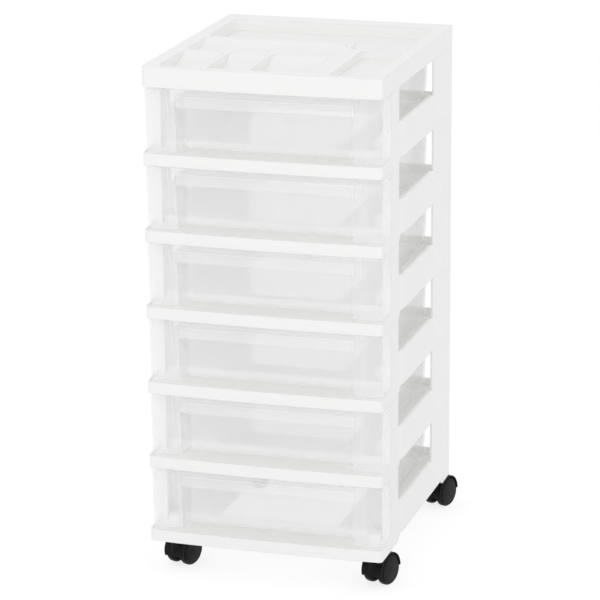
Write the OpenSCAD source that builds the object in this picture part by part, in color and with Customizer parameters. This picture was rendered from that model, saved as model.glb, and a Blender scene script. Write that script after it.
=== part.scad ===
// Six-drawer rolling tower: stacked moulded tier frames, clear pull-out drawers,
// an organizer tray on top and four twin-wheel casters.
// Millimetres, +Z up. The origin is on the floor, under the middle of the outline;
// -Y is the front. Inside the modules depth is counted from the front of the rails.

/* [Tower] */
// Width across the front rails
tower_w = 306.4; // [300:0.2:330]
// Depth from the bow of the front rails to the back
tower_d = 360.4; // [352:0.2:390]
// Height of one tier, from the underside of a rail to the next
tier_pitch = 98.5; // [97:0.1:108]
// Wall of the white frame and of the tray
frame_wall = 2.4; // [2:0.1:2.8]
// How far the front rails bow out in the middle
rail_bow = 3.6; // [3:0.1:9]
// Corner radius at the ends of the front rails
rail_corner_r = 5; // [4:0.5:8]
// Corner radius at the back of the frame
rear_corner_r = 5; // [3:0.5:8]
// How far each side turns inwards towards the back
rear_taper = 0.8; // [0:0.1:2]
// Length over which the sides turn inwards at the back
taper_l = 44.4; // [40.4:1:60.4]

/* [Rails and shelves] */
// Height of a front rail's face
rail_h = 15.5; // [14:0.5:18]
// Depth of the riser that closes the ledge behind a rail
riser_y = 56; // [52:1:60]
// Height of the drawer runners above the underside of a rail
shelf_z = 24; // [22:0.5:28]
// Width of the opening in a shelf
shelf_open_w = 164; // [140:1:180]
// Distance from the shelf opening to the back
shelf_open_in = 48.4; // [40.4:1:60.4]
// Corner radius of the shelf opening
shelf_open_r = 10; // [6:1:16]
// Height of the stiffening lip under the shelf opening
shelf_lip_h = 6; // [4:0.5:8]
// Height of the back member, which stops the drawer
back_member_h = 34; // [30:1:40]
// Width of the flange on each rear post
rear_flange_w = 25; // [20:1:28]
// Thickness of the ribs under the ledge and the runners
rib_t = 1.6; // [1.2:0.1:2]
// Distance between the ribs under the ledge
ledge_rib_gap = 70; // [60:1:75]
// Distance between the ribs under the runners
shelf_rib_gap = 70; // [60:1:80]

/* [Posts and side bands] */
// How far a side band stands out past the posts
band_out = 3; // [2:0.5:4]
// How much the ledge rises at its ends, towards the posts
foot_rise = 4; // [0:0.5:5]
// Depth at which the front posts start
post_front = 44; // [40:0.5:47]
// Depth at which the side window starts
window_front = 83; // [80:1:88]
// Width of a rear post, from the side window to the back
rear_post_w = 104.4; // [100.4:1:116.4]
// Width of the stiffening flanges on the posts
post_flange_w = 8; // [5:0.5:10]
// Half width of the channel in which a drawer runs
guide_half = 122; // [121.7:0.1:123]
// Height of the crest of a side band before rounding
band_crest_z = 60; // [57:0.5:62]
// Crest radius of a side band
band_crest_r = 3.5; // [3:0.5:5]
// Slope of the top of a side band, down towards the drawer
band_slope = 40.5; // [36:0.5:44]
// Depth at which a side band starts to stand out
band_front = 86; // [84:1:92]
// Length of the sloped face at the front of a side band
band_rim = 11; // [8:1:16]
// Length over which the crest of a side band falls
band_fall_l = 64; // [58:1:70]
// Distance from the end of a side band to the back
band_tail_in = 44.4; // [40.4:1:50.4]
// Height over which the falling end of a band comes out to its full depth
band_ramp = 15; // [10:1:20]
// Radius of the shoulder where the crest falls
band_shoulder_r = 90; // [60:5:100]
// Clear height under a side band
arch_h = 10.5; // [8:0.5:12]
// Clear height under the sides of the tray
tray_arch_h = 0.5; // [0.5:0.5:5]
// Length over which an arch rises
arch_run = 12; // [8:1:16]
// Height of the tongues that locate the next piece
tongue_h = 6; // [4:0.5:8]
// Length of a tongue
tongue_l = 18; // [12:1:24]
// Clearance of a tongue to the wall above it
tongue_gap = 0.4; // [0.3:0.05:0.6]

/* [Drawers] */
// Wall of a clear drawer
drawer_wall = 2.2; // [1.8:0.1:2.6]
// Gap between a moving drawer and what it passes
drawer_gap = 0.3; // [0.25:0.05:0.5]
// Height of the runner ribs under a drawer
runner_h = 1; // [0.8:0.1:1.5]
// Width of a runner rib
runner_w = 3; // [2:0.5:4]
// Side distance of the runner ribs from the middle
runner_x = 108; // [100:1:114]
// Half width of the tub at its floor
tub_half_low = 120.2; // [118:0.1:120.6]
// Half width of the tub at its rim
tub_half_top = 124; // [122:0.1:125]
// Radius along the lower edges of the tub
tub_edge_r = 9; // [6:0.5:12]
// Corner radius of the tub seen from above
tub_corner_r = 8; // [6:1:14]
// Distance from the rim of the tub to the back of the tower
tub_back_in = 15.4; // [14.4:0.5:18.4]
// How much the back of the tub leans out from its floor to its rim
tub_back_lean = 4; // [2:0.5:6]
// Width of the rim round the tub
tub_rim_w = 3.5; // [2:0.5:5]
// Gap above a drawer front
front_gap_top = 1.2; // [0.8:0.1:2]
// Gap between a drawer front and the ledge
front_gap_low = 0.6; // [0.4:0.1:1.2]
// Depth of a drawer front at its top edge
front_top_y = 11; // [10:0.5:12]
// Depth of a drawer front at its bottom edge
front_low_y = 16; // [14:0.5:17]
// Depth at which the ends of a drawer front stop
front_back_y = 36; // [32:0.5:39]
// How much narrower than the rails each end of a drawer front is
front_side_in = 0.5; // [0.4:0.1:3]
// Corner radius at the ends of a drawer front
front_corner_r = 4; // [3:0.5:6]
// Half width of the scooped pull in a drawer front
pull_half = 114; // [104:1:116]
// Depth at which the scoop ends
pull_back_y = 41; // [36:0.5:44]
// How much each side of the scoop leans in
pull_lean = 6.5; // [4:0.5:10]
// Height of the top of the scoop above the underside of the rail
pull_top_z = 86.5; // [84:0.5:88]
// Height of the pull lip
lip_h = 14.5; // [11:0.5:18]
// How far the pull lip is set back in the front
lip_set = 1.8; // [1:0.1:2.5]
// Radius of the bead along the pull lip
lip_bead_r = 1.7; // [1.4:0.1:2]

/* [Drawer stops] */
// Side distance of the stops from the middle
stop_x = 60; // [50:1:75]
// Width of the stop tab on a drawer
stop_tab_w = 20; // [16:1:24]
// Height of the stop tab above the tier
stop_tab_rise = 4.5; // [4:0.1:5]
// Thickness of the stop tab
stop_tab_t = 3; // [2:0.5:4]
// Depth of the stop rib behind a rail
stop_rib_y = 48; // [46:0.5:50]
// Clear height under the stop rib
stop_rib_z = 1.2; // [1:0.1:1.6]

/* [Organizer tray] */
// Height of the tray
tray_h = 25.7; // [24:0.1:30]
// Wall between two compartments
tray_wall = 2.2; // [1.8:0.1:2.6]
// Corner radius of a compartment
pocket_r = 8; // [5:0.5:10]
// Depth of the long bin at the back
bin_depth = 15; // [12:0.5:16]
// Depth of the pencil tray
pencil_depth = 11; // [8:0.5:14]
// Depth of a scoop
scoop_depth = 14; // [10:0.5:16]
// Depth of the compartment on the right
side_bin_depth = 10; // [9:0.5:15]
// Distance from the compartments to the left side
pocket_left_in = 19.2; // [15.2:1:23.2]
// Distance from the compartments to the right side
pocket_right_in = 17.2; // [14.2:1:21.2]
// Front edge of the scoops and of the right compartment
pocket_front = 13; // [11:1:20]
// Back edge of the scoops
scoop_back = 111; // [100:1:113]
// Front edge of the pencil tray
pencil_front = 121; // [117:1:126]
// Back edge of the pencil tray
pencil_back = 199; // [190:1:202]
// Right edge of the scoops and of the pencil tray
scoop_right = 57; // [50:1:60]
// Left edge of the compartment on the right
side_bin_left = 84; // [78:1:90]
// Left edge of the long bin where it turns the corner
corner_left = 64; // [60:1:80]
// Back edge of the compartment on the right
side_bin_back = 166; // [158:1:168]
// Front edge of the long bin
bin_front = 208; // [205:1:214]
// Front edge of the long bin where it turns the corner
bin_step_front = 174; // [170:1:186]
// Distance from the long bin to the back
bin_back_in = 34.4; // [26.4:1:45.4]
// Places of the two dividers between the scoops
divider_x = [-76, -21];
// Width of a divider between the scoops
divider_w = 6; // [4:0.5:8]

/* [Casters] */
// Height from the floor to the underside of the frame
caster_h = 48; // [47.5:0.1:54]
// Distance from the swivels to the sides of the frame
pivot_side_in = 21.2; // [19.2:0.5:24.2]
// Depth of the front swivels
pivot_front_y = 45; // [43:0.5:46]
// Distance from the rear swivels to the back
pivot_rear_in = 9.4; // [9.4:0.5:15.4]
// Distance from the swivel to the axle
trail = 16; // [14:0.5:17]
// Direction in which the casters trail at rest
caster_turn = -18; // [-40:1:40]
// Radius of a wheel
wheel_r = 20; // [19:0.1:20.5]
// Width of a wheel
wheel_w = 10.8; // [9.5:0.1:12.5]
// Gap between a wheel and the hood
wheel_gap = 0.8; // [0.5:0.1:1]
// Half thickness of the middle of the hood
hood_half = 4.8; // [4.6:0.1:5.4]
// Thickness of the hood's mudguard
guard_t = 2; // [1.6:0.1:2.4]
// Radius of the axle
axle_r = 2.5; // [2:0.1:2.8]
// Radius of the stem where it turns
stem_r = 4; // [3.6:0.1:4.4]
// Radius of the stem's foot, in the hood
stem_foot_r = 3; // [2.6:0.1:3.2]
// Radius of the collar on the stem
stem_collar_r = 7.5; // [7:0.1:8]
// Thickness of the collar on the stem
stem_collar_t = 2.6; // [2:0.1:3]
// Length of the stem above the underside of the frame
stem_l = 20; // [18:0.5:21]
// Wall of the sleeve in which the stem turns
sleeve_wall = 1.6; // [1.2:0.1:2]
// Thickness of the flange under the sleeve
sleeve_flange_t = 1.2; // [1:0.1:1.6]
// Wall of the boss that holds a sleeve
boss_wall = 3.6; // [3:0.1:4]
// Height of the rib from a boss to the side
boss_rib_h = 12; // [8:0.5:14]
// Length of the rib from a boss to the runners
boss_rib_l = 34; // [26:0.5:40]
// Radial clearance of a turning fit
turn_fit = 0.05; // [0.03:0.01:0.09]
// Radial clearance of a pressed fit
press_fit = 0.02; // [0.01:0.01:0.04]

/* [Hidden] */
$fn = 96;

tier_count = 6;
eps = 0.01;
far = 600;

frame_white = [0.95, 0.95, 0.94];
drawer_clear = [0.86, 0.89, 0.92, 0.6];
caster_black = [0.09, 0.09, 0.1];
steel_grey = [0.62, 0.63, 0.65];

half_w = tower_w / 2;
bow_radius = (half_w * half_w + rail_bow * rail_bow) / (2 * rail_bow);
post_half = half_w;
band_half = half_w + band_out;
post_in = post_half - frame_wall;
flange_in = post_in - rear_flange_w + frame_wall;
taper_start = tower_d - taper_l;
shelf_open_back = tower_d - shelf_open_in;
window_back = tower_d - rear_post_w;
band_tail_y = tower_d - band_tail_in;
band_fall_y = band_tail_y - band_fall_l;

front_low_z = rail_h + front_gap_low;
front_top_z = tier_pitch - front_gap_top;
front_lean = atan((front_low_y - front_top_y) / (front_top_z - front_low_z));
front_half = half_w - front_side_in;
drawer_floor_z = shelf_z + drawer_gap + runner_h;
tub_back_top = tower_d - tub_back_in;
tub_back_low = tub_back_top - tub_back_lean;
tub_rim_z = front_top_z - 2;
pull_back_half = pull_half - pull_lean;
lip_low_z = pull_top_z - lip_h;

pocket_left = pocket_left_in - half_w;
pocket_right = half_w - pocket_right_in;
bin_back = tower_d - bin_back_in;

pivot_x = half_w - pivot_side_in;
pivot_rear_y = tower_d - pivot_rear_in;
sleeve_r = stem_r + turn_fit + sleeve_wall;
boss_r = sleeve_r + press_fit + boss_wall;
guard_r = wheel_r + wheel_gap + guard_t;
wheel_in = hood_half + wheel_gap;

// The casters trail past the frame, so the middle of the whole outline, where the
// origin is, lies a little behind and beside the middle of the frame
caster_span = wheel_in + wheel_w;
reach_x = pivot_x + (trail + wheel_r) * abs(sin(caster_turn)) + caster_span * cos(caster_turn);
reach_y = pivot_rear_y + (trail + wheel_r) * cos(caster_turn)
    + caster_span * abs(sin(caster_turn));
middle_x = -sign(caster_turn) * max(0, reach_x - band_half) / 2;
middle_y = max(tower_d, reach_y) / 2;

// ---------------------------------------------------------------- helpers

function unit(v) = v / norm(v);

// Points of the arc that rounds the corner at b, between a and c
function corner_arc(a, b, c, r, steps) =
    let (u = unit(a - b), v = unit(c - b))
    let (half_angle = acos(u * v) / 2)
    let (centre = b + unit(u + v) * r / sin(half_angle))
    let (start = b + u * r / tan(half_angle) - centre)
    let (end = b + v * r / tan(half_angle) - centre)
    let (a0 = atan2(start[1], start[0]))
    let (raw = atan2(end[1], end[0]) - a0)
    let (sweep = raw > 180 ? raw - 360 : raw < -180 ? raw + 360 : raw)
    [for (i = [0 : steps]) centre + r * [cos(a0 + sweep * i / steps), sin(a0 + sweep * i / steps)]];

// An outline whose corners are [x, y] or, where rounded, [x, y, radius]
function outline(corners, steps = 6) =
    let (n = len(corners))
    let (p = [for (c = corners) [c[0], c[1]]])
    [for (i = [0 : n - 1]) each len(corners[i]) == 2 ? [p[i]]
        : corner_arc(p[(i + n - 1) % n], p[i], p[(i + 1) % n], corners[i][2], steps)];

module along_x(from, to) {
    translate([from, 0, 0]) rotate([90, 0, 90]) linear_extrude(to - from) children();
}

module along_y(from, to) {
    translate([0, to, 0]) rotate([90, 0, 0]) linear_extrude(to - from) children();
}

module along_z(from, to) {
    translate([0, 0, from]) linear_extrude(to - from) children();
}

module block(low, high) {
    translate(low) cube(high - low);
}

module both_sides() {
    children();
    mirror([1, 0, 0]) children();
}

// Rectangle from one corner to the other with true round corners
module round_rect(low, high, r) {
    translate(low + [r, 0]) square(high - low - [2 * r, 0]);
    translate(low + [0, r]) square(high - low - [0, 2 * r]);
    for (x = [low[0] + r, high[0] - r], y = [low[1] + r, high[1] - r])
        translate([x, y]) circle(r);
}

// Puts a tier's shape, counted from the front and from its own underside, in its place
module at_tier(tier) {
    translate([-middle_x, -middle_y, caster_h + (tier_count - tier) * tier_pitch]) children();
}

// ---------------------------------------------------------- frame outline

// Seen from above: bowed front, straight sides that turn in at the back
module footprint(inset) {
    half = half_w - inset;
    back = tower_d - inset;
    back_half = half - rear_taper;
    front_r = rail_corner_r - min(inset, rail_corner_r - 1);
    rear_r = rear_corner_r - min(inset, rear_corner_r - 1);
    bow = bow_radius - inset;
    front_y = bow_radius - sqrt(pow(bow - front_r, 2) - pow(half - front_r, 2));
    polygon([
        [-half, front_y], [half, front_y], [half, taper_start], [back_half, back - rear_r],
        [back_half - rear_r, back], [-back_half + rear_r, back], [-back_half, back - rear_r],
        [-half, taper_start]]);
    for (side = [-1, 1]) {
        translate([side * (half - front_r), front_y]) circle(front_r);
        translate([side * (back_half - rear_r), back - rear_r]) circle(rear_r);
    }
    intersection() {
        translate([0, bow_radius]) circle(bow, $fn = 720);
        translate([front_r - half, -1]) square([2 * (half - front_r), front_y + 1 + eps]);
    }
}

// Lower edge of a frame's side: feet at both ends and a low arch between them
function arch_edge(rise, foot_y) = [
    [tower_d + 1, foot_y],
    [band_tail_y, foot_y],
    [band_tail_y - arch_run, foot_y + rise],
    [window_front + arch_run, foot_y + rise],
    [window_front - 2, foot_y],
    [-1, foot_y]];

// A frame's side seen from the right, without the side band. join_rise is the
// arch of the piece above, which the tops of the posts follow.
module side_profile(join_rise) {
    difference() {
        polygon(concat(
            arch_edge(arch_h, 0),
            [[-1, rail_h], [rail_corner_r, rail_h], [post_front, rail_h + foot_rise]],
            [[post_front, tier_pitch]],
            [[window_front - 2, tier_pitch]],
            [[window_front, tier_pitch + 2 * join_rise / (arch_run + 2)]],
            [[window_back, tier_pitch + join_rise]],
            [[band_tail_y - arch_run, tier_pitch + join_rise]],
            [[band_tail_y, tier_pitch], [tower_d + 1, tier_pitch]]));
        band_side(frame_wall / 2, arch_h - eps);
        polygon(outline([
            [window_front, band_crest_z - 14, 6], [window_front, tier_pitch + 30],
            [window_back, tier_pitch + 30], [window_back, band_crest_z - 14, 6]]));
    }
}

// -------------------------------------------------------------- side band

// Side view of a band: level crest, then a falling line down to the seam
module band_side(inset, low) {
    crest = band_crest_z - band_crest_r;
    fall = [band_tail_y - band_fall_y, arch_h - crest];
    along = unit(fall);
    shift = -inset / along[1];
    top = crest + (inset > 0 ? 0 : 0.6);
    polygon(outline([
        [window_front - frame_wall + inset, low],
        [window_front - frame_wall + inset, top],
        [band_fall_y - shift, top, band_shoulder_r],
        [band_tail_y - shift + (low - arch_h) * along[0] / along[1], low]], 8));
}

// Cross-section of a band, seen along the depth
module band_section(inset, low) {
    outer = band_half - inset;
    inner = guide_half + inset;
    drop = inset / cos(band_slope);
    function slope_z(x) = band_crest_z - drop - (band_half - x) * tan(band_slope);
    foot_x = inset > 0 ? post_in : outer;
    polygon(outline([
        [inner, low], [foot_x, low], [foot_x, arch_h + 3], [outer, arch_h + 5],
        [outer, slope_z(outer), band_crest_r - min(inset, band_crest_r - 1)],
        [inner, slope_z(inner)]], 8));
}

// A band seen from above: it starts level with the post and comes out past it
module band_plan(inset) {
    polygon([
        [guide_half + inset, window_front - frame_wall + inset],
        [post_half - inset, window_front - frame_wall + inset],
        [post_half - inset, band_front],
        [band_half - inset, band_front + band_rim],
        [band_half - inset, tower_d], [guide_half + inset, tower_d]]);
}

// Half space below the slanted end of a band, which comes out along the fall
module band_end(inset) {
    fall = atan2(arch_h - band_crest_z, band_tail_y - band_fall_y);
    translate([post_half - inset, band_tail_y, arch_h]) rotate([fall, 0, 0])
        rotate([0, -atan(band_out / band_ramp), 0])
            translate([-2 * far, -far, -far]) cube([2 * far, 2 * far, 2 * far]);
}

module band_body(inset, low) {
    intersection() {
        band_end(inset);
        along_y(0, tower_d) band_section(inset, low);
        along_x(0, far) band_side(inset, low);
        along_z(low, tier_pitch) band_plan(inset);
    }
}

// Hollow side band, open below as it comes from the mould
module side_band() {
    difference() {
        band_body(0, arch_h);
        band_body(frame_wall, arch_h - 1);
    }
}

// ------------------------------------------------------------ tier frames

module post_flanges() {
    block([post_in - post_flange_w, post_front, rail_h - frame_wall],
        [post_in + eps, post_front + frame_wall, tier_pitch]);
    block([post_in - post_flange_w, window_front - frame_wall, band_crest_z - 24],
        [post_in + eps, window_front, tier_pitch]);
}

// Tongues on top of the posts that reach up inside the next piece
module tongues(join_rise) {
    outer = post_in - tongue_gap;
    for (spot = [[post_front + 10, 0], [window_back + 12, join_rise]]) {
        block([outer - frame_wall, spot[0], tier_pitch + spot[1] - 10],
            [post_in + eps, spot[0] + tongue_l, tier_pitch + spot[1] - 1]);
        block([outer - frame_wall, spot[0], tier_pitch + spot[1] - 10],
            [outer, spot[0] + tongue_l, tier_pitch + spot[1] + tongue_h]);
    }
}

module shelf_opening(grow) {
    round_rect([-shelf_open_w / 2 - grow, riser_y - grow],
        [shelf_open_w / 2 + grow, shelf_open_back + grow], shelf_open_r + grow);
}

// Ledge behind the rail, riser, and the ring that carries the drawer's runners
module shelf() {
    along_z(rail_h - frame_wall, rail_h) intersection() {
        footprint(frame_wall / 2);
        translate([-far, 0]) square([2 * far, riser_y]);
    }
    block([-post_in, riser_y - frame_wall, rail_h - frame_wall],
        [post_in, riser_y, shelf_z]);
    difference() {
        union() {
            block([-guide_half - 1, riser_y - eps, shelf_z - frame_wall],
                [guide_half + 1, tower_d - frame_wall, shelf_z]);
            along_z(shelf_z - frame_wall, shelf_z) intersection() {
                footprint(frame_wall / 2);
                translate([-far, shelf_open_back]) square(2 * far);
            }
            along_z(shelf_z - frame_wall - shelf_lip_h, shelf_z - eps) intersection() {
                shelf_opening(frame_wall);
                translate([-far, riser_y - frame_wall]) square(2 * far);
            }
        }
        along_z(0, tier_pitch) shelf_opening(0);
    }
}

module ledge_ribs() {
    for (step = [-1.5 : 1.5], x = step * ledge_rib_gap)
        block([x - rib_t / 2, frame_wall + rail_bow, rail_h - frame_wall - 5],
            [x + rib_t / 2, riser_y - 1, rail_h - frame_wall + eps]);
    for (y = [riser_y + 44 : shelf_rib_gap : shelf_open_back - 60]) both_sides()
        block([shelf_open_w / 2 + 1, y, shelf_z - frame_wall - 4],
            [guide_half + 1, y + rib_t, shelf_z - frame_wall + eps]);
}

// Ribs under the ledge that catch the tabs of the drawer below
module stop_ribs(top) {
    both_sides() block([stop_x - stop_tab_w / 2 - 2, stop_rib_y, stop_rib_z],
        [stop_x + stop_tab_w / 2 + 2, stop_rib_y + frame_wall, top]);
}

// Everything that all six frames share
module tier_shell(join_rise) {
    difference() {
        intersection() {
            along_z(0, tier_pitch + join_rise) difference() {
                footprint(0);
                footprint(frame_wall);
            }
            along_x(-far, far) side_profile(join_rise);
        }
        block([-flange_in, tower_d / 2 + 100, back_member_h], [flange_in, far, far]);
    }
    both_sides() {
        side_band();
        post_flanges();
        tongues(join_rise);
    }
    shelf();
    ledge_ribs();
}

module tier_frame(tier) {
    color(frame_white) at_tier(tier) {
        tier_shell(tier == 1 ? tray_arch_h : arch_h);
        stop_ribs(rail_h - frame_wall + eps);
    }
}

module caster_places() {
    for (side = [-1, 1], y = [pivot_front_y, pivot_rear_y])
        translate([side * pivot_x, y, 0]) children();
}

module base_frame() {
    color(frame_white) at_tier(tier_count) difference() {
        union() {
            tier_shell(arch_h);
            caster_places() cylinder(r = boss_r, h = shelf_z);
            both_sides() for (y = [pivot_front_y, pivot_rear_y]) {
                block([pivot_x, y - rib_t / 2, 0],
                    [post_in - rear_taper + 1, y + rib_t / 2, boss_rib_h]);
                block([pivot_x - boss_rib_l, y - rib_t / 2, boss_rib_h / 2],
                    [pivot_x, y + rib_t / 2, rail_h - 2]);
            }
        }
        caster_places() translate([0, 0, -1])
            cylinder(r = sleeve_r + press_fit, h = stem_l + 2);
    }
}

// ---------------------------------------------------------------- drawers

// The leaning front: a shallow cover, open at the back
module front_cover() {
    tilt_h = tier_pitch;
    intersection() {
        translate([0, front_low_y, front_low_z]) rotate([front_lean, 0, 0])
            along_z(-10, tilt_h) difference() {
                front_shape(0);
                front_shape(drawer_wall);
            }
        block([-far, 0, front_low_z], [far, front_back_y, front_top_z]);
    }
    intersection() {
        translate([0, front_low_y, front_low_z]) rotate([front_lean, 0, 0])
            along_z(-10, tilt_h) front_shape(drawer_wall / 2);
        block([-far, 0, front_top_z - drawer_wall], [far, front_back_y, front_top_z]);
    }
}

module front_shape(inset) {
    r = max(front_corner_r - inset, 1);
    half = front_half - inset;
    translate([-half, inset + r]) square([2 * half, 60]);
    translate([-half + r, inset]) square([2 * (half - r), 60]);
    for (side = [-1, 1]) translate([side * (half - r), inset + r]) circle(r);
}

// Tub with drafted sides and back and rounded lower edges
module tub(inset) {
    low = drawer_floor_z + inset;
    top = inset > 0 ? tier_pitch + 20 : front_top_z - drawer_wall;
    draft = (tub_half_top - tub_half_low) / (tub_rim_z - drawer_floor_z);
    back_draft = (tub_back_top - tub_back_low) / (tub_rim_z - drawer_floor_z);
    half_low = tub_half_low - inset + draft * inset;
    half_top = half_low + draft * (top - low);
    back_low = tub_back_low - inset + back_draft * inset;
    edge = max(tub_edge_r - inset, 1);
    intersection() {
        along_y(0, far) polygon(outline([
            [-half_low, low, edge], [half_low, low, edge], [half_top, top], [-half_top, top]]));
        along_x(-far, far) polygon(outline([
            [front_low_y + inset - (front_low_y - front_top_y) * 0.1, low],
            [back_low, low, edge],
            [back_low + back_draft * (top - low), top],
            [front_top_y + inset, top]]));
        along_z(0, 2 * tier_pitch) round_rect([-tub_half_top + inset, -20],
            [tub_half_top - inset, tub_back_top - inset], tub_corner_r - inset / 2);
    }
}

module tub_rim() {
    along_z(tub_rim_z - 2, tub_rim_z) difference() {
        round_rect([-tub_half_top - tub_rim_w, front_back_y - 6],
            [tub_half_top + tub_rim_w, tub_back_top + tub_rim_w], tub_corner_r + tub_rim_w);
        round_rect([-tub_half_top + 1, -20], [tub_half_top - 1, tub_back_top - 1], tub_corner_r);
        translate([-far, -far]) square([2 * far, far + front_back_y - 1]);
    }
}

// The scoop seen from above: it narrows towards its back wall
module pull_plan(grow) {
    lean = pull_lean / (pull_back_y - front_top_y);
    mouth = pull_half + grow + lean * front_top_y;
    polygon(outline([
        [-mouth, 0], [mouth, 0],
        [pull_back_half + grow, pull_back_y + grow, 6 + grow],
        [-pull_back_half - grow, pull_back_y + grow, 6 + grow]]));
}

// Pull lip: hangs from the top of the scoop, with a bead to grip
module pull_lip() {
    drop = front_low_y + lip_set;
    half = pull_half + 0.5;
    intersection() {
        translate([0, drop, front_low_z]) rotate([front_lean, 0, 0]) union() {
            block([-half, 0, lip_low_z + lip_bead_r - front_low_z],
                [half, drawer_wall, pull_top_z + 1.5 - front_low_z]);
            translate([-half, lip_bead_r, lip_low_z + lip_bead_r - front_low_z])
                rotate([0, 90, 0]) cylinder(r = lip_bead_r, h = 2 * half);
        }
        block([-far, 0, 0], [far, pull_back_y, pull_top_z + drawer_wall]);
    }
}

module stop_tabs() {
    both_sides() block([stop_x - stop_tab_w / 2, tub_back_top - 0.5, tub_rim_z - 12],
        [stop_x + stop_tab_w / 2, tub_back_top + stop_tab_t, tier_pitch + stop_tab_rise]);
}

module runners() {
    both_sides() block([runner_x - runner_w / 2, riser_y, shelf_z + drawer_gap],
        [runner_x + runner_w / 2, tub_back_low - 20, drawer_floor_z + 0.5]);
}

module drawer(tier) {
    color(drawer_clear) at_tier(tier) {
        difference() {
            union() {
                front_cover();
                difference() {
                    union() {
                        tub(0);
                        tub_rim();
                    }
                    tub(drawer_wall);
                }
                intersection() {
                    along_z(front_low_z, pull_top_z + drawer_wall) pull_plan(drawer_wall);
                    front_envelope();
                }
            }
            along_z(0, pull_top_z) pull_plan(0);
            ledge_end_space();
        }
        pull_lip();
        stop_tabs();
        runners();
    }
}

// The space of the ledge's rising ends, which the ends of a drawer front clear
module ledge_end_space() {
    both_sides() along_x(post_in - drawer_gap, far) polygon([
        [-1, 0], [-1, front_low_z], [rail_corner_r, front_low_z],
        [post_front, front_low_z + foot_rise], [post_front, 0]]);
}

// The space behind the leaning front face
module front_envelope() {
    translate([0, front_low_y, front_low_z]) rotate([front_lean, 0, 0])
        block([-far, 0, -20], [far, far, 2 * tier_pitch]);
}

// ---------------------------------------------------------- organizer tray

// Compartments of the tray: low corner, high corner, depth, and whether the
// floor is a trough that runs across the tray
pockets = [
    [[pocket_left, pocket_front], [divider_x[0] - divider_w / 2, scoop_back], scoop_depth, true],
    [[divider_x[0] + divider_w / 2, pocket_front], [divider_x[1] - divider_w / 2, scoop_back],
        scoop_depth, true],
    [[divider_x[1] + divider_w / 2, pocket_front], [scoop_right, scoop_back], scoop_depth, true],
    [[pocket_left, pencil_front], [scoop_right, pencil_back], pencil_depth, true],
    [[pocket_left, bin_front], [pocket_right, bin_back], bin_depth, false],
    [[corner_left, bin_step_front], [pocket_right, bin_front + 30], bin_depth, false],
    [[side_bin_left, pocket_front], [pocket_right, side_bin_back], side_bin_depth, false]];

// One compartment as a solid; grow makes the shell round it
module pocket(p, grow, top) {
    low = p[0] - [grow, grow];
    high = p[1] + [grow, grow];
    depth = p[2];
    span = (p[1][1] - p[0][1]) / 2;
    trough_r = (span * span + depth * depth) / (2 * depth);
    intersection() {
        along_z(tray_h - depth - grow, top) round_rect(low, high, pocket_r + grow);
        if (p[3])
            along_x(-far, far) translate([p[0][1] + span, tray_h - depth + trough_r])
                circle(trough_r + grow, $fn = 360);
    }
}

module tray_side_profile() {
    polygon(concat(arch_edge(tray_arch_h, 0), [[-1, tray_h], [tower_d + 1, tray_h]]));
}

module organizer_tray() {
    color(frame_white) at_tier(0) difference() {
        union() {
            intersection() {
                along_z(0, tray_h) difference() {
                    footprint(0);
                    footprint(frame_wall);
                }
                along_x(-far, far) tray_side_profile();
            }
            along_z(tray_h - frame_wall, tray_h) footprint(frame_wall / 2);
            for (p = pockets) pocket(p, tray_wall, tray_h - 1);
            stop_ribs(tray_h - frame_wall + eps);
        }
        for (p = pockets) pocket(p, 0, tray_h + 1);
    }
}

// ---------------------------------------------------------------- casters

// A caster's own frame: swivel on the z axis, axle across x, trailing to +y
module at_caster(side, y) {
    translate([side * pivot_x - middle_x, y - middle_y, 0]) rotate([0, 0, caster_turn]) children();
}

module on_axle() {
    translate([0, trail, wheel_r]) rotate([0, 90, 0]) children();
}

// Collar, turning shank and foot of the steel stem
module stem() {
    collar_top = caster_h - sleeve_flange_t - 0.3;
    color(steel_grey) {
        translate([0, 0, collar_top - stem_collar_t]) cylinder(r = stem_collar_r, h = stem_collar_t);
        translate([0, 0, collar_top - eps])
            cylinder(r = stem_r, h = caster_h + stem_l - 1 - collar_top + eps);
        translate([0, 0, caster_h + stem_l - 1 - eps]) cylinder(r1 = stem_r, r2 = stem_r - 1, h = 1);
        translate([0, 0, 26]) cylinder(r = stem_foot_r, h = collar_top - 26);
    }
}

// Outline of the hood from the side: it wraps the wheels from low at the
// swivel's side, over the top, to above the axle behind
module hood_side(r) {
    intersection() {
        circle(r);
        polygon([[0, -6], [-far, -10], [-far, far], [far, far], [far, 9], [6, 0]]);
    }
    circle(axle_r + 4);
}

module hood() {
    half = wheel_in + wheel_w - 1.5;
    collar_low = caster_h - sleeve_flange_t - 0.3 - stem_collar_t;
    color(caster_black) difference() {
        union() {
            intersection() {
                translate([0, trail, wheel_r]) along_x(-half, half) difference() {
                    hood_side(guard_r);
                    circle(guard_r - guard_t);
                }
                translate([0, trail, wheel_r]) along_x(-half, half) translate([-far, -6])
                    square([2 * far, far]);
            }
            translate([0, trail, wheel_r]) along_x(-hood_half, hood_half) hood_side(guard_r - 0.5);
            difference() {
                translate([0, 0, wheel_r]) cylinder(r = stem_collar_r, h = collar_low - wheel_r);
                translate([-far, 0, 0]) on_axle() cylinder(r = guard_r - guard_t, h = 2 * far);
            }
        }
        translate([0, 0, 26 - eps]) cylinder(r = stem_foot_r + press_fit, h = 30);
        translate([-far, 0, 0]) on_axle() cylinder(r = axle_r + press_fit, h = 2 * far);
    }
}

module axle() {
    half = wheel_in + wheel_w - 3.2;
    color(steel_grey) translate([-half, 0, 0]) on_axle() cylinder(r = axle_r, h = 2 * half);
}

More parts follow.
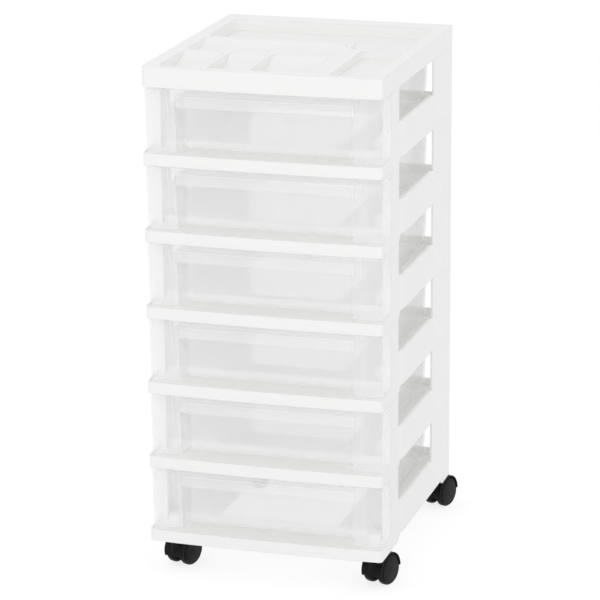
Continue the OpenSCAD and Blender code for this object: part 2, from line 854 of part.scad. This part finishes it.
// Wheel: tread with eased edges, dished cover outside, hub and web inside
module wheel(side) {
    w0 = wheel_in;
    w1 = wheel_in + wheel_w;
    color(caster_black) mirror([side < 0 ? 1 : 0, 0, 0]) on_axle() rotate_extrude()
        polygon(outline([
            [axle_r + turn_fit, w0 - 0.4], [axle_r + 2.8, w0 - 0.4], [axle_r + 2.8, w1 - 4.4],
            [wheel_r - 3.4, w1 - 4.4], [wheel_r - 3.4, w0], [wheel_r - 1.6, w0],
            [wheel_r, w0 + 2, 2.4], [wheel_r, w1 - 3, 3], [wheel_r - 2, w1 - 0.8],
            [wheel_r - 2.6, w1 - 1.4], [wheel_r - 7, w1 - 0.7, 20], [0, w1],
            [0, w1 - 2.6], [axle_r + turn_fit, w1 - 2.6]], 4));
}

module caster_sleeves() {
    color(caster_black) translate([-middle_x, -middle_y, caster_h]) caster_places() difference() {
        union() {
            cylinder(r = sleeve_r, h = stem_l);
            translate([0, 0, -sleeve_flange_t]) cylinder(r = boss_r - 1, h = sleeve_flange_t);
        }
        translate([0, 0, -sleeve_flange_t - 1]) cylinder(r = stem_r + turn_fit, h = stem_l + 4);
    }
}

// --------------------------------------------------------------- assembly

organizer_tray();
for (tier = [1 : tier_count - 1])
    tier_frame(tier);
base_frame();
for (tier = [1 : tier_count])
    drawer(tier);
caster_sleeves();
for (end = [["front", pivot_front_y], ["rear", pivot_rear_y]], side = [["left", -1], ["right", 1]]) {
    name = str("caster_", end[0], "_", side[0]);
    at_caster(side[1], end[1]) stem();
    at_caster(side[1], end[1]) hood();
    at_caster(side[1], end[1]) axle();
    at_caster(side[1], end[1]) wheel(-1);
    at_caster(side[1], end[1]) wheel(1);
}
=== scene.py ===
"""Looks of a six-drawer rolling tower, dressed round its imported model.

White moulded frames carry clear pull-out drawers, a compartmented tray lies on
top, and four twin-wheel casters stand below. Lengths are in metres, as Blender
has them. A name that ends in _mm holds millimetres, which MM turns to metres; the
camera's lens and sensor stay in millimetres, as Blender takes them.
"""

import logging
import math
from dataclasses import dataclass
from enum import Enum
from typing import Any

import bmesh
import bpy
from mathutils import Matrix, Vector


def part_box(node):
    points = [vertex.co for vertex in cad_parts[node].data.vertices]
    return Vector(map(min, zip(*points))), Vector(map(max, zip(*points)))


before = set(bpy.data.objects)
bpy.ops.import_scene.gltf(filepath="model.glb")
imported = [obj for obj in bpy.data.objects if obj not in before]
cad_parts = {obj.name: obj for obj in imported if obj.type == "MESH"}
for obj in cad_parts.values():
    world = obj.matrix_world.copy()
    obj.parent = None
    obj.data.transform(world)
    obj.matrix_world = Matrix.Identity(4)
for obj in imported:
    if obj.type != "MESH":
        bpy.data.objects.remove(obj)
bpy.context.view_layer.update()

MM = 0.001
LOG = logging.getLogger("drawer_tower")

# Rays that feel for a nearby edge: enough for a clean line
EDGE_SAMPLES = 6

# Sockets of a colour mix: its inputs share their names, so they go by number
MIX_FACTOR, MIX_A, MIX_B, MIX_RESULT = 0, 6, 7, 2

NodeInputs = dict[str | int, Any]
Pieces = list[bpy.types.Object]


class End(Enum):
    """Which end of the tower a caster stands at."""

    FRONT = "front"
    REAR = "rear"


class Side(Enum):
    """Which side of the tower a caster stands at, seen from the front."""

    LEFT = "left"
    RIGHT = "right"


# ---------------------------------------------------------------- helpers


def linear(hex_colour: str) -> tuple[float, float, float, float]:
    """Turns an sRGB hex colour to the linear colour that shaders take.

    Args:
        hex_colour: A colour such as "#f2f2f0".

    Returns:
        Red, green, blue and an alpha of 1.
    """
    digits = hex_colour.lstrip("#")
    values = [int(digits[i:i + 2], 16) / 255 for i in (0, 2, 4)]
    r, g, b = (v / 12.92 if v <= 0.04045 else ((v + 0.055) / 1.055) ** 2.4 for v in values)
    return r, g, b, 1.0


def per_metre(feature_mm: float) -> float:
    """Gives the scale at which a texture's features have a real size.

    Args:
        feature_mm: Size of one feature in millimetres.

    Returns:
        Features per metre, for a texture on object coordinates.
    """
    return 1 / (feature_mm * MM)


def add_node(
    tree: bpy.types.NodeTree,
    kind: str,
    inputs: NodeInputs | None = None,
    **settings: Any,
) -> bpy.types.Node:
    """Adds a node, sets it up and links it.

    Args:
        tree: The node tree that gets the node.
        kind: The node's type name.
        inputs: Value or output socket for each input, by name or number.
        **settings: The node's own properties.

    Returns:
        The new node.
    """
    node = tree.nodes.new(kind)
    for name, value in settings.items():
        setattr(node, name, value)
    for key, value in (inputs or {}).items():
        if isinstance(value, bpy.types.NodeSocket):
            tree.links.new(value, node.inputs[key])
        else:
            node.inputs[key].default_value = value
    return node


def new_material(name: str) -> tuple[bpy.types.Material, bpy.types.NodeTree]:
    """Makes an empty node material.

    Args:
        name: The material's name.

    Returns:
        The material and its node tree.
    """
    material = bpy.data.materials.new(name)
    material.use_nodes = True
    material.node_tree.nodes.clear()
    return material, material.node_tree


def add_to_scene(name: str, data: bpy.types.ID) -> bpy.types.Object:
    """Makes an object and puts it in the scene.

    Args:
        name: The object's name.
        data: Its mesh, lamp or camera.

    Returns:
        The new object.
    """
    thing = bpy.data.objects.new(name, data)
    bpy.context.scene.collection.objects.link(thing)
    return thing


def dress(node: str, material: bpy.types.Material) -> bpy.types.Object:
    """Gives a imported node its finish.

    Args:
        node: The node's name.
        material: The finish of the whole node.

    Returns:
        The node's object.
    """
    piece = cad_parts[node]
    piece.data.materials.clear()
    piece.data.materials.append(material)
    return piece


# --------------------------------------------------------------- finishes


@dataclass(frozen=True)
class MouldedPolypropylene:
    """Opaque white polypropylene, injection moulded in a spark-eroded mould."""

    # To the eye it is satin: a soft wide sheen over a very fine even grain
    name: str = "white polypropylene, moulded satin"
    colour: str = "#fbfbfa"
    ior: float = 1.49
    roughness: float = 0.42
    roughness_spread: float = 0.05
    # Round that the mould leaves on each edge, which catches a thin line of light
    edge_mm: float = 0.9
    # Broad, barely visible clouds, where the melt cooled at another rate
    cloud_colour: str = "#f9faf9"
    cloud_mm: float = 60.0
    cloud_detail: float = 3.0
    # Spark-eroded grain is about 0.05 mm; it is drawn coarser, or it wouldn't show
    grain_mm: float = 0.7
    grain_depth_mm: float = 0.012
    grain_detail: float = 2.0
    grain_crispness: float = 0.6
    grain_strength: float = 0.5

    def build(self) -> bpy.types.Material:
        """Makes the material.

        Returns:
            The material.
        """
        material, tree = new_material(self.name)
        place = add_node(tree, "ShaderNodeTexCoord").outputs["Object"]
        clouds = add_node(
            tree, "ShaderNodeTexNoise",
            {"Vector": place, "Scale": per_metre(self.cloud_mm), "Detail": self.cloud_detail})
        grain = add_node(
            tree, "ShaderNodeTexNoise",
            {"Vector": place, "Scale": per_metre(self.grain_mm), "Detail": self.grain_detail,
             "Roughness": self.grain_crispness})
        colour = add_node(
            tree, "ShaderNodeMix",
            {MIX_FACTOR: clouds.outputs["Fac"], MIX_A: linear(self.colour),
             MIX_B: linear(self.cloud_colour)},
            data_type="RGBA")
        rough = add_node(
            tree, "ShaderNodeMapRange",
            {"Value": grain.outputs["Fac"], "To Min": self.roughness - self.roughness_spread,
             "To Max": self.roughness + self.roughness_spread})
        rounded = add_node(
            tree, "ShaderNodeBevel", {"Radius": self.edge_mm * MM}, samples=EDGE_SAMPLES)
        bump = add_node(
            tree, "ShaderNodeBump",
            {"Height": grain.outputs["Fac"], "Strength": self.grain_strength,
             "Distance": self.grain_depth_mm * MM, "Normal": rounded.outputs["Normal"]})
        shader = add_node(
            tree, "ShaderNodeBsdfPrincipled",
            {"Base Color": colour.outputs[MIX_RESULT], "Roughness": rough.outputs["Result"],
             "Normal": bump.outputs["Normal"], "IOR": self.ior})
        add_node(tree, "ShaderNodeOutputMaterial", {"Surface": shader.outputs["BSDF"]})
        return material


@dataclass(frozen=True)
class ClearPolypropylene:
    """Clarified polypropylene, injection moulded in a polished mould."""

    # To the eye it is see-through but milky, so that what lies behind looks pale. An
    # edge is seen through more plastic than a wall, so it shows as a whiter line.
    name: str = "clarified polypropylene, moulded clear"
    colour: str = "#fdfdfe"
    ior: float = 1.49
    roughness: float = 0.16
    roughness_spread: float = 0.04
    # How much one face of a wall hides of what lies behind it
    haze: float = 0.28
    # How much it stops of the light that falls through, which it scatters forwards
    light_haze: float = 0.0
    # The haze at an edge, and how far it reaches from there
    edge_haze: float = 0.7
    edge_mm: float = 1.0
    # Cosine between a face and its rounded edge at which the edge has its full haze
    edge_turn: float = 0.93
    # Faint waves that the melt leaves as it fills the mould
    wave_mm: float = 18.0
    wave_depth_mm: float = 0.05
    wave_detail: float = 1.0
    wave_swirl: float = 0.6
    wave_strength: float = 0.3

    def build(self) -> bpy.types.Material:
        """Makes the material.

        Returns:
            The material.
        """
        material, tree = new_material(self.name)
        place = add_node(tree, "ShaderNodeTexCoord").outputs["Object"]
        waves = add_node(
            tree, "ShaderNodeTexNoise",
            {"Vector": place, "Scale": per_metre(self.wave_mm), "Detail": self.wave_detail,
             "Distortion": self.wave_swirl})
        bump = add_node(
            tree, "ShaderNodeBump",
            {"Height": waves.outputs["Fac"], "Strength": self.wave_strength,
             "Distance": self.wave_depth_mm * MM})
        rough = add_node(
            tree, "ShaderNodeMapRange",
            {"Value": waves.outputs["Fac"], "To Min": self.roughness - self.roughness_spread,
             "To Max": self.roughness + self.roughness_spread})
        shader = add_node(
            tree, "ShaderNodeBsdfPrincipled",
            {"Base Color": linear(self.colour), "Roughness": rough.outputs["Result"],
             "Normal": bump.outputs["Normal"], "IOR": self.ior, "Alpha": self.milk(tree)})
        add_node(tree, "ShaderNodeOutputMaterial", {"Surface": shader.outputs["BSDF"]})
        return material

    def milk(self, tree: bpy.types.NodeTree) -> bpy.types.NodeSocket:
        """Makes the haze, which light passes and which is thicker at each edge.

        Args:
            tree: The material's node tree.

        Returns:
            A socket with the haze, from 0 for clear to 1 for solid white.
        """
        rounded = add_node(
            tree, "ShaderNodeBevel", {"Radius": self.edge_mm * MM}, samples=EDGE_SAMPLES)
        face = add_node(tree, "ShaderNodeNewGeometry")
        turn = add_node(
            tree, "ShaderNodeVectorMath",
            {0: rounded.outputs["Normal"], 1: face.outputs["Normal"]}, operation="DOT_PRODUCT")
        seen_haze = add_node(
            tree, "ShaderNodeMapRange",
            {"Value": turn.outputs["Value"], "From Min": self.edge_turn, "From Max": 1.0,
             "To Min": self.edge_haze, "To Max": self.haze})
        rays = add_node(tree, "ShaderNodeLightPath")
        falling_light = add_node(
            tree, "ShaderNodeMath",
            {0: rays.outputs["Is Shadow Ray"], 1: rays.outputs["Is Diffuse Ray"]},
            operation="MAXIMUM")
        haze = add_node(
            tree, "ShaderNodeMapRange",
            {"Value": falling_light.outputs[0], "To Min": seen_haze.outputs["Result"],
             "To Max": self.light_haze})
        return haze.outputs["Result"]


@dataclass(frozen=True)
class BlackNylon:
    """Black nylon, injection moulded with a fine grain."""

    # To the eye it is deep black with a low sheen, a little greyer where it is worn
    name: str = "black nylon, moulded"
    colour: str = "#060607"
    worn_colour: str = "#101012"
    ior: float = 1.53
    # Less than the usual shine, as the grain traps light
    shine: float = 0.12
    roughness: float = 0.42
    roughness_spread: float = 0.08
    grain_mm: float = 0.5
    grain_depth_mm: float = 0.02
    grain_detail: float = 2.0
    grain_strength: float = 0.4
    # Wear leaves dull and polished patches of about this size
    patch_mm: float = 9.0
    patch_detail: float = 3.0

    def build(self) -> bpy.types.Material:
        """Makes the material.

        Returns:
            The material.
        """
        material, tree = new_material(self.name)
        place = add_node(tree, "ShaderNodeTexCoord").outputs["Object"]
        grain = add_node(
            tree, "ShaderNodeTexNoise",
            {"Vector": place, "Scale": per_metre(self.grain_mm), "Detail": self.grain_detail})
        patches = add_node(
            tree, "ShaderNodeTexNoise",
            {"Vector": place, "Scale": per_metre(self.patch_mm), "Detail": self.patch_detail})
        colour = add_node(
            tree, "ShaderNodeMix",
            {MIX_FACTOR: patches.outputs["Fac"], MIX_A: linear(self.colour),
             MIX_B: linear(self.worn_colour)},
            data_type="RGBA")
        rough = add_node(
            tree, "ShaderNodeMapRange",
            {"Value": patches.outputs["Fac"], "To Min": self.roughness - self.roughness_spread,
             "To Max": self.roughness + self.roughness_spread})
        bump = add_node(
            tree, "ShaderNodeBump",
            {"Height": grain.outputs["Fac"], "Strength": self.grain_strength,
             "Distance": self.grain_depth_mm * MM})
        shader = add_node(
            tree, "ShaderNodeBsdfPrincipled",
            {"Base Color": colour.outputs[MIX_RESULT], "Roughness": rough.outputs["Result"],
             "Normal": bump.outputs["Normal"], "IOR": self.ior,
             "Specular IOR Level": self.shine})
        add_node(tree, "ShaderNodeOutputMaterial", {"Surface": shader.outputs["BSDF"]})
        return material


@dataclass(frozen=True)
class ZincPlatedSteel:
    """Zinc-plated steel, turned and then plated."""

    # To the eye it is a cool grey metal whose gloss breaks up in fine specks
    name: str = "zinc-plated steel, turned"
    colour: str = "#a9abae"
    roughness_low: float = 0.26
    roughness_high: float = 0.42
    speck_mm: float = 0.6
    speck_detail: float = 1.0

    def build(self) -> bpy.types.Material:
        """Makes the material.

        Returns:
            The material.
        """
        material, tree = new_material(self.name)
        place = add_node(tree, "ShaderNodeTexCoord").outputs["Object"]
        specks = add_node(
            tree, "ShaderNodeTexNoise",
            {"Vector": place, "Scale": per_metre(self.speck_mm), "Detail": self.speck_detail})
        rough = add_node(
            tree, "ShaderNodeMapRange",
            {"Value": specks.outputs["Fac"], "To Min": self.roughness_low,
             "To Max": self.roughness_high})
        shader = add_node(
            tree, "ShaderNodeBsdfPrincipled",
            {"Base Color": linear(self.colour), "Metallic": 1.0,
             "Roughness": rough.outputs["Result"]})
        add_node(tree, "ShaderNodeOutputMaterial", {"Surface": shader.outputs["BSDF"]})
        return material


# ------------------------------------------------------------ the object


@dataclass
class WhiteShells:
    """The tray and the frames, all moulded from the same white plastic."""

    tier_frames: int = 5

    def dress(self, material: bpy.types.Material) -> Pieces:
        """Gives each shell its finish.

        Args:
            material: The white plastic.

        Returns:
            The dressed pieces, from the top down.
        """
        frames = [f"tier_frame_{tier}" for tier in range(1, self.tier_frames + 1)]
        return [dress(node, material) for node in ("organizer_tray", *frames, "base_frame")]


@dataclass
class Drawers:
    """The clear drawers."""

    count: int = 6

    def dress(self, material: bpy.types.Material) -> Pieces:
        """Gives each drawer its finish.

        Args:
            material: The clear plastic.

        Returns:
            The dressed pieces, from the top down.
        """
        return [dress(f"drawer_{tier}", material) for tier in range(1, self.count + 1)]


@dataclass
class Caster:
    """A twin-wheel caster: stem, hood, axle and two wheels."""

    end: End
    side: Side

    @property
    def name(self) -> str:
        """The caster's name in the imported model."""
        return f"caster_{self.end.value}_{self.side.value}"

    def dress(
        self, plastic: bpy.types.Material, tyre: bpy.types.Material, steel: bpy.types.Material
    ) -> Pieces:
        """Gives the caster's parts their finishes.

        Args:
            plastic: The hood's plastic.
            tyre: The wheels' plastic.
            steel: The pins' steel.

        Returns:
            The dressed pieces.
        """
        finishes = {
            "hood": plastic, "stem": steel, "axle": steel, "inner_wheel": tyre,
            "outer_wheel": tyre}
        return [dress(f"{self.name}_{part}", finish) for part, finish in finishes.items()]


@dataclass
class RunningGear:
    """What the tower rolls on: four casters in the sleeves of the base frame."""

    hood_plastic: BlackNylon = BlackNylon()
    wheel_plastic: BlackNylon = BlackNylon(
        name="black nylon, moulded wheel", worn_colour="#0e0e10")
    pins: ZincPlatedSteel = ZincPlatedSteel()

    def dress(self) -> Pieces:
        """Gives the sleeves and the casters their finishes.

        Returns:
            The dressed pieces.
        """
        plastic = self.hood_plastic.build()
        tyre = self.wheel_plastic.build()
        steel = self.pins.build()
        pieces = [dress("caster_sleeves", plastic)]
        for end in End:
            for side in Side:
                pieces += Caster(end, side).dress(plastic, tyre, steel)
        return pieces


# ------------------------------------------------------------ the studio


@dataclass(frozen=True)
class PhotoCamera:
    """The camera at the photograph's viewing angle.

    Its place is counted from the tower: sideways from the middle of the tray,
    forwards from the front of the rails and up from the underside of the frame.
    """

    right_mm: float = 1092.8
    forward_mm: float = 3485.9
    up_mm: float = 1378.35
    # Turned to the left, tipped down and leaned over
    yaw_deg: float = 16.66
    pitch_deg: float = 15.99
    roll_deg: float = -0.36
    lens_mm: float = 184.79
    sensor_mm: float = 36.0
    # Nearest and farthest distance that it shows, in metres
    near: float = 0.1
    far: float = 50.0

    def place(self) -> Vector:
        """Finds where the camera stands.

        Returns:
            The place, in metres.
        """
        tray_low, tray_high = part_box("organizer_tray")
        base_low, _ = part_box("base_frame")
        return Vector((
            (tray_low.x + tray_high.x) / 2 + self.right_mm * MM,
            tray_low.y - self.forward_mm * MM,
            base_low.z + self.up_mm * MM))

    def turn(self) -> Matrix:
        """Finds how the camera is turned.

        Returns:
            The rotation, with the camera's right, up and back as its columns.
        """
        yaw, pitch, roll = map(math.radians, (self.yaw_deg, self.pitch_deg, self.roll_deg))
        forward = Vector((
            -math.sin(yaw) * math.cos(pitch), math.cos(yaw) * math.cos(pitch), -math.sin(pitch)))
        right = forward.cross(Vector((0, 0, 1))).normalized()
        up = right.cross(forward)
        leaned_right = math.cos(roll) * right + math.sin(roll) * up
        leaned_up = math.cos(roll) * up - math.sin(roll) * right
        return Matrix((leaned_right, leaned_up, -forward)).transposed()

    def build(self) -> bpy.types.Object:
        """Makes the camera and sets it as the scene's.

        Returns:
            The camera.
        """
        data = bpy.data.cameras.new("photo camera")
        data.lens = self.lens_mm
        data.sensor_width = self.sensor_mm
        data.clip_start = self.near
        data.clip_end = self.far
        camera = add_to_scene("photo camera", data)
        camera.matrix_world = Matrix.Translation(self.place()) @ self.turn().to_4x4()
        bpy.context.scene.camera = camera
        return camera


@dataclass(frozen=True)
class Softbox:
    """A large soft lamp that looks at the middle of the tower."""

    name: str
    # Place and edge length in metres, power in watts
    place: tuple[float, float, float]
    size: float
    power: float
    target: tuple[float, float, float] = (0.0, 0.0, 0.33)

    def build(self) -> bpy.types.Object:
        """Makes the lamp.

        Returns:
            The lamp.
        """
        data = bpy.data.lights.new(self.name, "AREA")
        data.shape = "SQUARE"
        data.size = self.size
        data.energy = self.power
        lamp = add_to_scene(self.name, data)
        lamp.location = self.place
        aim = Vector(self.target) - Vector(self.place)
        lamp.rotation_mode = "QUATERNION"
        lamp.rotation_quaternion = aim.to_track_quat("-Z", "Y")
        return lamp


@dataclass(frozen=True)
class Studio:
    """White surroundings: soft light from all round, lamps and a pale floor."""

    # Strength of the light from all round, where 1 would show as white
    surround: float = 0.81
    floor_half: float = 6.0
    # The floor's colour for the light that it throws back, and for the eye
    floor_bounce: str = "#f8f8f8"
    floor_shown: str = "#8c8c8c"
    # What lifts the shown floor to white and leaves a faint shadow
    floor_glow: float = 0.8
    # Light crosses the pale plastic many times, which is what fills the drawers
    bounces: int = 32
    lamps: tuple[Softbox, ...] = (
        Softbox("high front softbox", (-0.5, -1.7, 2.5), 1.8, 5.0),
        Softbox("front softbox", (0.3, -3.0, 0.9), 1.8, 6.5),
        Softbox("side softbox", (2.6, -0.6, 0.9), 1.6, 3.0),
    )

    def build(self) -> None:
        """Makes the world, the lamps and the floor."""
        bpy.context.scene.view_settings.view_transform = "Standard"
        cycles = bpy.context.scene.cycles
        for limit in ("max_bounces", "diffuse_bounces", "glossy_bounces",
                      "transmission_bounces", "transparent_max_bounces"):
            setattr(cycles, limit, self.bounces)
        self.build_world()
        for lamp in self.lamps:
            lamp.build()
        self.build_floor()

    @staticmethod
    def seen_rays(tree: bpy.types.NodeTree) -> bpy.types.NodeSocket:
        """Finds the rays that show the surroundings: straight, mirrored or refracted.

        Args:
            tree: The node tree that asks.

        Returns:
            A socket that is 1 for those rays and 0 for the rest.
        """
        rays = add_node(tree, "ShaderNodeLightPath")
        mirrored = add_node(
            tree, "ShaderNodeMath",
            {0: rays.outputs["Is Camera Ray"], 1: rays.outputs["Is Glossy Ray"]},
            operation="MAXIMUM")
        seen = add_node(
            tree, "ShaderNodeMath",
            {0: mirrored.outputs[0], 1: rays.outputs["Is Transmission Ray"]},
            operation="MAXIMUM")
        return seen.outputs[0]

    def build_world(self) -> None:
        """Makes a world that lights evenly and shows white."""
        world = bpy.data.worlds.new("white studio")
        world.use_nodes = True
        tree = world.node_tree
        tree.nodes.clear()
        strength = add_node(
            tree, "ShaderNodeMapRange",
            {"Value": self.seen_rays(tree), "To Min": self.surround, "To Max": 1.0})
        background = add_node(
            tree, "ShaderNodeBackground",
            {"Color": linear("#ffffff"), "Strength": strength.outputs["Result"]})
        add_node(tree, "ShaderNodeOutputWorld", {"Surface": background.outputs["Background"]})
        bpy.context.scene.world = world

    def build_floor(self) -> None:
        """Makes the pale floor, which shows white and keeps a faint shadow."""
        mesh = bpy.data.meshes.new("floor")
        shape = bmesh.new()
        bmesh.ops.create_grid(shape, x_segments=2, y_segments=2, size=self.floor_half)
        shape.to_mesh(mesh)
        shape.free()
        mesh.materials.append(self.floor_material())
        add_to_scene("floor", mesh)

    def floor_material(self) -> bpy.types.Material:
        """Makes the floor's paint.

        Returns:
            The material.
        """
        material, tree = new_material("white studio floor")
        bounce = add_node(tree, "ShaderNodeBsdfDiffuse", {"Color": linear(self.floor_bounce)})
        shown = add_node(tree, "ShaderNodeBsdfDiffuse", {"Color": linear(self.floor_shown)})
        glow = add_node(
            tree, "ShaderNodeEmission", {"Color": linear("#ffffff"), "Strength": self.floor_glow})
        lit = add_node(tree, "ShaderNodeAddShader", {0: shown.outputs[0], 1: glow.outputs[0]})
        mixed = add_node(
            tree, "ShaderNodeMixShader",
            {"Fac": self.seen_rays(tree), 1: bounce.outputs[0], 2: lit.outputs[0]})
        add_node(tree, "ShaderNodeOutputMaterial", {"Surface": mixed.outputs[0]})
        return material


# ------------------------------------------------------------------ main


def main() -> None:
    """Builds the studio and dresses the tower, sub-assembly by sub-assembly."""
    logging.basicConfig(level=logging.INFO, format="%(message)s")
    PhotoCamera().build()
    Studio().build()
    pieces = WhiteShells().dress(MouldedPolypropylene().build())
    pieces += Drawers().dress(ClearPolypropylene().build())
    pieces += RunningGear().dress()
    for piece in pieces:
        LOG.info("dressed %s in %s", piece.name, piece.data.materials[0].name)


if __name__ == "__main__":
    main()
